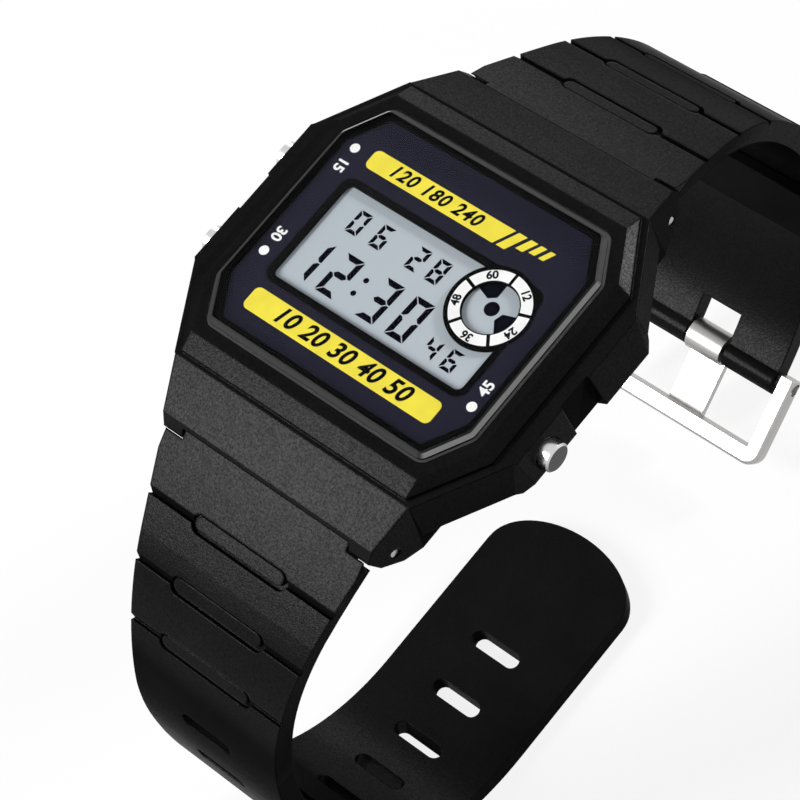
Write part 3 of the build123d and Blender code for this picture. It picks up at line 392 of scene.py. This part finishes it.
def moulded_resin(name, roughness, edge, dulling):
    """Matt black resin with a fine moulded grain and softly rounded edges. The grain hides the
    gloss of faces seen at a slant: it falls off over the span of Facing values called dulling."""
    resin = Material(name, RESIN_COLOUR, roughness)
    resin.mottle(resin.noise(*RESIN_MOTTLE), RESIN_COLOUR, RESIN_LIGHTER)
    resin.vary_roughness(resin.noise(*RESIN_SMEAR), roughness - RESIN_SMOOTHER,
                         roughness + RESIN_ROUGHER)
    slant = resin.node("ShaderNodeLayerWeight").outputs["Facing"]
    gloss = resin.map_range(slant, dulling, (RESIN_SPECULAR, RESIN_DULL_SPECULAR),
                            interpolation_type="SMOOTHSTEP")
    grain = resin.map_range(resin.noise(*GRAIN), NOISE_SPAN, GRAIN_GLOSS)
    resin.link(math_node(resin.tree, "MULTIPLY", gloss, grain),
               resin.shader.inputs["Specular IOR Level"])
    resin.round_edges(edge)
    resin.bump(resin.noise(*PITS), PIT_DEPTH, PIT_STRENGTH)
    return resin.material


def steel(name, colour, roughness):
    metal = Material(name, colour, roughness, 1.0)
    metal.vary_roughness(metal.noise(*BRUSH), roughness - METAL_SMOOTHER, roughness + METAL_ROUGHER)
    metal.round_edges(METAL_EDGE)
    return metal.material


def button_steel_painted_light():
    """Bright turned steel with painted light in its colour: painted darker where it faces down and
    lighter where it faces up, and its flat end, which is brushed, painted darker as painted shade.
    """
    bright = BUTTON_PAINTED_LIGHT_GREYS[1]
    metal = Material("button_steel_painted_light", (bright, bright, bright), BUTTON_ROUGHNESS[0], 1.0)
    normal = metal.parts_of(metal.node("ShaderNodeNewGeometry").outputs["Normal"])
    # The flat end is painted dark as painted shade
    end = math_node(metal.tree, "ABSOLUTE", normal["X"])
    end = math_node(metal.tree, "GREATER_THAN", end, BUTTON_END_X)
    # The sides are painted darker facing down and lighter facing up, as painted shade and painted
    # highlight
    side = metal.map_range(normal["Z"], BUTTON_PAINTED_LIGHT_SLOPES, BUTTON_PAINTED_LIGHT_GREYS)
    tone = metal.node("ShaderNodeMix", data_type="RGBA")
    tone.inputs["B"].default_value = BUTTON_END_PAINTED_SHADE
    metal.link(side, tone.inputs["A"])
    metal.link(end, tone.inputs["Factor"])
    metal.link(tone.outputs["Result"], metal.shader.inputs["Base Color"])
    metal.vary_roughness(metal.noise(*BRUSH), *BUTTON_ROUGHNESS)
    return metal.material


def plain(name, colour, roughness):
    made = Material(name, colour, roughness)
    made.mottle(made.noise(SPECKLE_SCALE), colour, SPECKLE_LIGHTER)
    return made.material


def printed(name, colour):
    ink = plain(name, colour, PRINT_ROUGHNESS)
    shader = ink.node_tree.nodes["Principled BSDF"]
    shader.inputs["Specular IOR Level"].default_value = PRINT_SPECULAR
    return ink


def display_grey():
    cell = Material("display_grey", DISPLAY_GREYS[0], DISPLAY_ROUGHNESS)
    cell.vary_colour(cell.noise(*DISPLAY_MOTTLE), *DISPLAY_GREYS)
    cell.shader.inputs["Specular IOR Level"].default_value = DISPLAY_SPECULAR
    return cell.material


def window_glass():
    glass = Material("window_glass", (1.0, 1.0, 1.0), 0.0)
    glass.shader.inputs["Transmission Weight"].default_value = 1.0
    glass.shader.inputs["IOR"].default_value = GLASS_IOR
    glass.shader.inputs["Specular Tint"].default_value = GLASS_TINT
    return glass.material


def ground_edge_painted_light(top):
    """The ground edge of a glass whose top is at the given height, with painted light in its
    colour: painted highlights on its left, right and far sides, and painted shade on the upper band
    of its bevel, near the glass top."""
    edge = Material("glass_edge_painted_light", (EDGE_DARK, EDGE_DARK, EDGE_DARK), EDGE_ROUGHNESS[0])
    edge.shader.inputs["Specular IOR Level"].default_value = EDGE_SPECULAR
    normal = edge.node("ShaderNodeNewGeometry").outputs["Normal"]
    painted_highlight_tones = []
    # Painted highlights where the edge faces the lamps
    for direction, span, tone in EDGE_PAINTED_HIGHLIGHTS:
        dot = edge.node("ShaderNodeVectorMath", operation="DOT_PRODUCT")
        dot.inputs[1].default_value = direction
        edge.link(normal, dot.inputs[0])
        painted_highlight_tones.append(edge.map_range(dot.outputs["Value"], span, (EDGE_DARK, tone)))
    brightest_painted_highlight = painted_highlight_tones[0]
    for tone in painted_highlight_tones[1:]:
        brightest_painted_highlight = math_node(edge.tree, "MAXIMUM", brightest_painted_highlight, tone)
    # Painted shade on the upper band of the bevel
    height = edge.parts_of(edge.node("ShaderNodeTexCoord").outputs["Object"])["Z"]
    inner_shade_span = [top - GLASS_BEVEL_MM * share * MM for share in EDGE_INNER_SHADE_SHARES]
    inner_shade = edge.map_range(height, inner_shade_span, (EDGE_INNER_PAINTED_SHADE, 1.0))
    edge.link(math_node(edge.tree, "MINIMUM", brightest_painted_highlight, inner_shade), edge.shader.inputs["Base Color"])
    edge.vary_roughness(edge.noise(EDGE_MOTTLE_SCALE), *EDGE_ROUGHNESS)
    return edge.material


# Stage, light and camera

def is_seen_directly(tree):
    """1 for camera, glossy and transmission rays that no matt surface has scattered, and 0 for the
    others. What lights the dial through the glass is scattered light, and gets 0."""
    rays = tree.nodes.new("ShaderNodeLightPath").outputs
    seen = math_node(tree, "MAXIMUM", rays["Is Camera Ray"], rays["Is Glossy Ray"])
    seen = math_node(tree, "MAXIMUM", seen, rays["Is Transmission Ray"])
    unscattered = math_node(tree, "LESS_THAN", rays["Diffuse Depth"], 0.5)
    return math_node(tree, "MULTIPLY", seen, unscattered)


def mix_shaders(tree, share, first, second, target):
    """Links a mix of two shaders, with the given share of the second, to the target."""
    mix = tree.nodes.new("ShaderNodeMixShader")
    tree.links.new(share, mix.inputs["Fac"])
    tree.links.new(first, mix.inputs[1])
    tree.links.new(second, mix.inputs[2])
    tree.links.new(mix.outputs[0], target)


def white_world():
    world = bpy.data.worlds.new("studio")
    bpy.context.scene.world = world
    world.use_nodes = True
    tree = world.node_tree
    tree.nodes.clear()
    output = tree.nodes.new("ShaderNodeOutputWorld")
    backgrounds = []
    for strength in (WORLD_LIGHT, WORLD_SEEN):
        background = tree.nodes.new("ShaderNodeBackground")
        background.inputs["Color"].default_value = WORLD_WHITE
        background.inputs["Strength"].default_value = strength
        backgrounds.append(background.outputs[0])
    mix_shaders(tree, is_seen_directly(tree), *backgrounds, output.inputs["Surface"])


def floor_material():
    pale = bpy.data.materials.new("floor_white")
    pale.use_nodes = True
    tree = pale.node_tree
    shader = tree.nodes["Principled BSDF"]
    shader.inputs["Base Color"].default_value = FLOOR_WHITE
    shader.inputs["Roughness"].default_value = FLOOR_ROUGHNESS
    shader.inputs["Specular IOR Level"].default_value = 0.0
    glow = tree.nodes.new("ShaderNodeEmission")
    glow.inputs["Strength"].default_value = FLOOR_GLOW
    share = math_node(tree, "MULTIPLY", is_seen_directly(tree), FLOOR_GLOW_SHARE)
    mix_shaders(tree, share, shader.outputs[0], glow.outputs[0],
                tree.nodes["Material Output"].inputs["Surface"])
    return pale


def add_floor(height):
    mesh = bpy.data.meshes.new("floor")
    corners = [(x * FLOOR_HALF, y * FLOOR_HALF, height)
               for x, y in ((-1, -1), (1, -1), (1, 1), (-1, 1))]
    mesh.from_pydata(corners, [], [(0, 1, 2, 3)])
    add_piece("floor", mesh, floor_material())


def add_light(name, direction, width, length, power, along):
    light = bpy.data.lights.new(name, "AREA")
    light.shape = "RECTANGLE"
    light.size = width
    light.size_y = length
    light.energy = power
    lamp = bpy.data.objects.new(name, light)
    away = Vector(direction).normalized()
    side = Vector(along).cross(away).normalized()
    turn = Matrix((side, away.cross(side), away)).transposed().to_4x4()
    lamp.matrix_world = Matrix.Translation(away * LAMP_DISTANCE) @ turn
    bpy.context.scene.collection.objects.link(lamp)


def add_camera():
    right = Vector(CAMERA_RIGHT)
    up = Vector(CAMERA_UP)
    data = bpy.data.cameras.new("camera")
    data.sensor_width = CAMERA_SENSOR_MM
    data.lens = CAMERA_LENS_MM
    data.clip_start = CAMERA_CLIP_START
    camera = bpy.data.objects.new("camera", data)
    turn = Matrix((right, up, right.cross(up))).transposed().to_4x4()
    camera.matrix_world = Matrix.Translation(Vector(CAMERA_PLACE_MM) * MM) @ turn
    bpy.context.scene.collection.objects.link(camera)
    bpy.context.scene.camera = camera


# Printed dial

def blue_print(low, material):
    """The blue plate, without the display window and its border, and without the black disc."""
    high = low + PRINT_STEP_MM * MM
    print_plate = plate("dial_blue", [octagon(*PRINT_OCTAGON_MM)], low, high, material)
    x_range = (WINDOW_X_MM[0] - WINDOW_BORDER_MM, WINDOW_X_MM[1] + WINDOW_BORDER_MM)
    y_range = (WINDOW_Y_MM[0] - WINDOW_BORDER_MM, WINDOW_Y_MM[1] + WINDOW_BORDER_MM)
    outlines = {"window_cutter": rounded(x_range, y_range, WINDOW_ROUND_MM),
                "disc_cutter": circle(RING_CENTRE_MM, RING_BLACK_MM)}
    cutters = [plate(name, [outline], low - MM, high + MM, material)
               for name, outline in outlines.items()]
    return cut(print_plate, *cutters)


def slanted(left_top, width, low, top):
    """A slanted stripe from its left edge at the top."""
    lean = (top - low) * BAR_SLANT
    return [(left_top, top), (left_top - lean, low), (left_top + width - lean, low),
            (left_top + width, top)]


def yellow_bars():
    low, top = UPPER_BAR_Y_MM
    left, right = UPPER_BAR_X_MM
    upper = arc((left + BAR_ROUND_MM, top - BAR_ROUND_MM), BAR_ROUND_MM, 90, 180, CORNER_STEPS)
    upper += arc((left + BAR_ROUND_MM, low + BAR_ROUND_MM), BAR_ROUND_MM, 180, 270, CORNER_STEPS)
    upper += [(right - (top - low) * BAR_SLANT, low), (right, top)]
    stripes = [slanted(x, width, stripe_low, top) for x, width, stripe_low in STRIPES_MM]
    return [upper, rounded(LOWER_BAR_X_MM, LOWER_BAR_Y_MM, BAR_ROUND_MM)] + stripes


def spoke_angle(index):
    return 90.0 + index * 360.0 / RING_PARTS


def ring_parts():
    """White pieces of the ring between its spokes."""
    parts = []
    for index in range(RING_PARTS):
        start, end = spoke_angle(index), spoke_angle(index + 1)
        edges = []
        for radius in (RING_OUTER_MM, RING_INNER_MM):
            gap = math.degrees(math.asin(RING_SPOKE_MM / 2 / radius))
            edges.append(arc(RING_CENTRE_MM, radius, start + gap, end - gap))
        parts.append(edges[0] + edges[1][::-1])
    return parts


def numbers(name, text, size, centre, turn, low, material, slant=0.0, spread=1.0):
    """Plain numbers, as a thin plate, centred on a place in millimetres."""
    curve = bpy.data.curves.new(name, "FONT")
    curve.body = text
    curve.size = size * MM
    curve.shear = slant
    curve.space_character = spread
    curve.align_x = "CENTER"
    curve.align_y = "CENTER"
    curve.offset = size * MM * NUMBER_WEIGHT
    curve.extrude = PRINT_STEP_MM * MM / 2
    draft = bpy.data.objects.new(name, curve)
    bpy.context.scene.collection.objects.link(draft)
    bpy.context.view_layer.update()
    graph = bpy.context.evaluated_depsgraph_get()
    mesh = bpy.data.meshes.new_from_object(draft.evaluated_get(graph))
    bpy.data.objects.remove(draft)
    place = Vector((centre[0] * MM, centre[1] * MM, low + PRINT_STEP_MM * MM / 2))
    mesh.transform(Matrix.Translation(place) @ Matrix.Rotation(math.radians(turn), 4, "Z"))
    return add_piece(name, mesh, material)


def dial_numbers(low, dark, white):
    """The numbers on the bars from height low, and those by the buttons and on the ring a step
    below."""
    pieces = []
    for name, (text, size, spread), x, (bar_low, bar_top) in (
            ("upper_numbers", UPPER_NUMBERS, UPPER_NUMBERS_X_MM, UPPER_BAR_Y_MM),
            ("lower_numbers", LOWER_NUMBERS, LOWER_NUMBERS_X_MM, LOWER_BAR_Y_MM)):
        pieces.append(numbers(name, text, size, (x, (bar_low + bar_top) / 2), 0, low, dark,
                              BAR_NUMBER_SLANT, spread))
    below = low - PRINT_STEP_MM * MM
    for index, (x, y) in enumerate(DOTS_MM):
        away = -BUTTON_NUMBER_AWAY_MM if x < 0 and y > 0 else BUTTON_NUMBER_AWAY_MM
        turn = 90 if x > 0 else -90
        pieces.append(numbers(f"button_number_{index + 1}", BUTTON_NUMBERS[index],
                              BUTTON_NUMBER_SIZE_MM, (x, y + away), turn, below, white))
    radius = (RING_OUTER_MM + RING_INNER_MM) / 2
    for index in range(RING_PARTS):
        angle = spoke_angle(index) - 180.0 / RING_PARTS
        x = RING_CENTRE_MM[0] + radius * math.cos(math.radians(angle))
        y = RING_CENTRE_MM[1] + radius * math.sin(math.radians(angle))
        pieces.append(numbers(f"ring_number_{index + 1}", RING_NUMBERS[index],
                              RING_NUMBER_SIZE_MM, (x, y), angle - 90, below, dark))
    return pieces


# Display marks

def segment_shapes(width, height, stroke, gap):
    """Outlines of the seven segments of a digit whose lower left corner is at 0, 0."""
    middle = height / 2
    half = stroke / 2
    inner_left = stroke + gap
    inner_right = width - stroke - gap
    top = [(gap, height), (width - gap, height), (inner_right, height - stroke),
           (inner_left, height - stroke)]
    upper_left = [(0, height - gap), (stroke, height - stroke - gap),
                  (stroke, middle + half + gap), (half, middle + gap), (0, middle + gap)]
    bar = [(half + gap, middle), (inner_left, middle + half), (inner_right, middle + half),
           (width - half - gap, middle), (inner_right, middle - half), (inner_left, middle - half)]

    def flip_x(points):
        return [(width - x, y) for x, y in points]

    def flip_y(points):
        return [(x, height - y) for x, y in points]

    return {"a": top, "b": flip_x(upper_left), "c": flip_x(flip_y(upper_left)), "d": flip_y(top),
            "e": flip_y(upper_left), "f": upper_left, "g": bar}


def digit_outlines():
    outlines = []
    for digits, top, (width, height, stroke) in DIGIT_GROUPS:
        shapes = segment_shapes(width, height, stroke, DIGIT_GAP_MM)
        for digit, left in digits:
            for segment in SEGMENTS[digit]:
                outlines.append([(left + x + (y - height) * DIGIT_SLANT, top - height + y)
                                 for x, y in shapes[segment]])
    return outlines


def sector(index):
    """A dark sector of the round window, between two spokes."""
    start, end = spoke_angle(index), spoke_angle(index + 1)
    gap = math.degrees(math.asin(SECTOR_EDGE_GAP_MM / RING_INNER_MM))
    outer = arc(RING_CENTRE_MM, RING_INNER_MM, start + gap, end - gap)
    gap = math.degrees(math.asin(SECTOR_EDGE_GAP_MM / SECTOR_INNER_MM))
    inner = arc(RING_CENTRE_MM, SECTOR_INNER_MM, end - gap, start + gap, 1)
    return outer + inner


def display_marks(low, material):
    outlines = digit_outlines()
    outlines += [circle(place, COLON_RADIUS_MM, COLON_STEPS) for place in COLON_MM]
    outlines += [sector(index) for index in DARK_SECTORS]
    outlines.append(circle(RING_CENTRE_MM, CENTRE_DOT_MM, CENTRE_DOT_STEPS))
    return plate("display_marks", outlines, low, low + PRINT_STEP_MM * MM, material)


# Edge of the glass

def with_round_corners(points, radius):
    """The outline with its corners rounded, with the same number of points at each corner."""
    made = []
    for index, corner in enumerate(points):
        here = Vector(corner)
        back = (Vector(points[index - 1]) - here).normalized()
        ahead = (Vector(points[(index + 1) % len(points)]) - here).normalized()
        half = math.acos(max(-1.0, min(1.0, back.dot(ahead)))) / 2
        centre = here + (back + ahead).normalized() * (radius / math.sin(half))
        start = here + back * (radius / math.tan(half)) - centre
        end = here + ahead * (radius / math.tan(half)) - centre
        for turn_step in range(GLASS_CORNER_STEPS + 1):
            share = turn_step / GLASS_CORNER_STEPS
            way = (start * (1 - share) + end * share).normalized()
            made.append(tuple(centre + way * radius))
    return made


def glass_edge_painted_light(low, high, material):
    """A thin strip over the bevel round the glass, which carries the bevel's painted highlights and
    painted shade.
    """
    outer = with_round_corners(octagon(*GLASS_OCTAGON_MM), GLASS_ROUND_MM)
    build = bmesh.new()
    rows = []
    count = len(outer)
    for inset, height in ((-EDGE_LIFT_MM, low), (GLASS_BEVEL_MM - EDGE_LIFT_MM, high)):
        row = []
        for index, corner in enumerate(outer):
            along = Vector(outer[(index + 1) % count]) - Vector(outer[index - 1])
            inward = Vector((-along.y, along.x)).normalized()
            place = Vector(corner) + inward * inset
            row.append(build.verts.new((place.x * MM, place.y * MM, height)))
        rows.append(row)
    for index in range(count):
        after = (index + 1) % count
        build.faces.new((rows[0][index], rows[0][after], rows[1][after], rows[1][index]))
    mesh = bpy.data.meshes.new("glass_edge_painted_light")
    build.to_mesh(mesh)
    build.free()
    return add_piece("glass_edge_painted_light", mesh, material)


# Button springs

def button_spring(button, material):
    """A coil spring along X, between the ends of the CAD spring that it stands for."""
    low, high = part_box(f"{button}_spring")
    middle = (low + high) / 2
    half_wire = SPRING_WIRE_MM * MM / 2
    radius = (high.z - low.z) / 2 - half_wire
    points = []
    for turn_step in range(SPRING_STEPS + 1):
        share = turn_step / SPRING_STEPS
        turn = 2 * math.pi * SPRING_TURNS * share
        outward = Vector((0.0, math.cos(turn), math.sin(turn)))
        x = low.x + half_wire + (high.x - low.x - 2 * half_wire) * share
        centre = Vector((x, middle.y, middle.z)) + outward * radius
        for side in range(SPRING_SIDES):
            angle = 2 * math.pi * side / SPRING_SIDES
            way = outward * math.cos(angle) + Vector((math.sin(angle), 0, 0))
            points.append(centre + way * half_wire)
    last = SPRING_STEPS * SPRING_SIDES
    faces = [tuple(range(SPRING_SIDES)), tuple(reversed(range(last, last + SPRING_SIDES)))]
    for row in range(0, last, SPRING_SIDES):
        for side in range(SPRING_SIDES):
            after = (side + 1) % SPRING_SIDES
            faces.append((row + side, row + SPRING_SIDES + side, row + SPRING_SIDES + after,
                          row + after))
    mesh = bpy.data.meshes.new(f"{button}_coil")
    mesh.from_pydata(points, [], faces)
    spring = add_piece(f"{button}_coil", mesh, material)
    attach(spring, "watch_case")
    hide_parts(f"{button}_spring")
    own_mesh(spring)


# Putting it together

def paint(node, material):
    """Gives a CAD node its material."""
    if not node.material_slots:
        node.data.materials.append(material)
    for slot in node.material_slots:
        slot.material = material


def bounds_list():
    return [list(corner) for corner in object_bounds()]


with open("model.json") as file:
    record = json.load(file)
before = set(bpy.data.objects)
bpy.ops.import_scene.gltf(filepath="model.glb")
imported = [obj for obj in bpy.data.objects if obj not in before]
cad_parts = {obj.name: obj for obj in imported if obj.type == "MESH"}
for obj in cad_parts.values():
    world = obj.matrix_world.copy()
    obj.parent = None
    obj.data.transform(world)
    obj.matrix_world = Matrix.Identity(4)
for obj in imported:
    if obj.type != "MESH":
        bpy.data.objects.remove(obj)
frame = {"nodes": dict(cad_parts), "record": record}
cad_box = bounds_list()
nodes = frame["nodes"]

bpy.context.scene.view_settings.view_transform = "Standard"
white_world()
add_floor(cad_box[0][2])
add_camera()
for name, values in LAMPS.items():
    add_light(name, *values)

materials = {
    "resin": moulded_resin("case_resin", 0.24, 0.00025, (0.43, 0.53)),
    "strap_resin": moulded_resin("strap_resin", 0.25, 0.00022, (0.38, 0.56)),
    "window": window_glass(),
    "panel": printed("dial_black", (0.001, 0.001, 0.0012)),
    "display_cell": display_grey(),
    "light_plastic": plain("milky_plastic", (0.8, 0.82, 0.78), 0.4),
    "contact_rubber": plain("contact_rubber", (0.3, 0.16, 0.3), 0.7),
    "seal_rubber": plain("seal_rubber", (0.006, 0.006, 0.006), 0.6),
    "steel": steel("bright_steel", (0.42, 0.415, 0.405), 0.32),
    "brass": steel("brass", (0.7, 0.5, 0.2), 0.3),
    "frame_plastic": plain("frame_plastic", (0.03, 0.03, 0.03), 0.5),
    "board": plain("board_green", (0.02, 0.12, 0.05), 0.4),
    "cell_can": steel("cell_can", (0.65, 0.65, 0.64), 0.25),
}
for item in frame["record"]["subparts"]:
    paint(nodes[item["node"]], materials[item["material_slot"]])
paint(nodes["strap_upper"], moulded_resin("upper_strap_resin", 0.25, 0.00022, (0.4, 0.76)))
# The buttons' steel carries painted highlight and painted shade in its colour
painted_light_button_steel = button_steel_painted_light()
for name in BUTTONS:
    paint(nodes[name], painted_light_button_steel)
    button_spring(name, materials["steel"])
# Lamplight passes the glass as if it weren't there, so that it reaches the dial once and unbent
nodes["glass"].visible_shadow = False
nodes["glass"].visible_diffuse = False

blue = printed("dial_blue", (0.0135, 0.013, 0.0255))
yellow = printed("dial_yellow", (0.8, 0.68, 0.062))
white = printed("dial_white", (0.86, 0.86, 0.86))
ink = printed("dial_ink", (0.001, 0.001, 0.0015))
crystal = printed("display_ink", (0.0005, 0.0005, 0.003))

step = PRINT_STEP_MM * MM
print_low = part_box("dial_panel")[1].z
pieces = [
    blue_print(print_low, blue),
    plate("dial_bars", yellow_bars(), print_low + step, print_low + 2 * step, yellow),
    plate("dial_ring", ring_parts(), print_low, print_low + step, white),
    plate("dial_dots", [circle(place, DOT_RADIUS_MM) for place in DOTS_MM], print_low + step,
          print_low + 2 * step, white)]
pieces += dial_numbers(print_low + 2 * step, ink, white)
pieces = [moved(piece, DIAL_SHIFT_MM) for piece in pieces]
pieces.append(moved(display_marks(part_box("display")[1].z, crystal), DISPLAY_SHIFT_MM))
glass_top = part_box("glass")[1].z
# The strip over the glass bevel, with painted highlights and painted shade
edge = glass_edge_painted_light(glass_top - GLASS_BEVEL_MM * MM, glass_top, ground_edge_painted_light(glass_top))
for piece in pieces + [edge]:
    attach(piece, "watch_case")
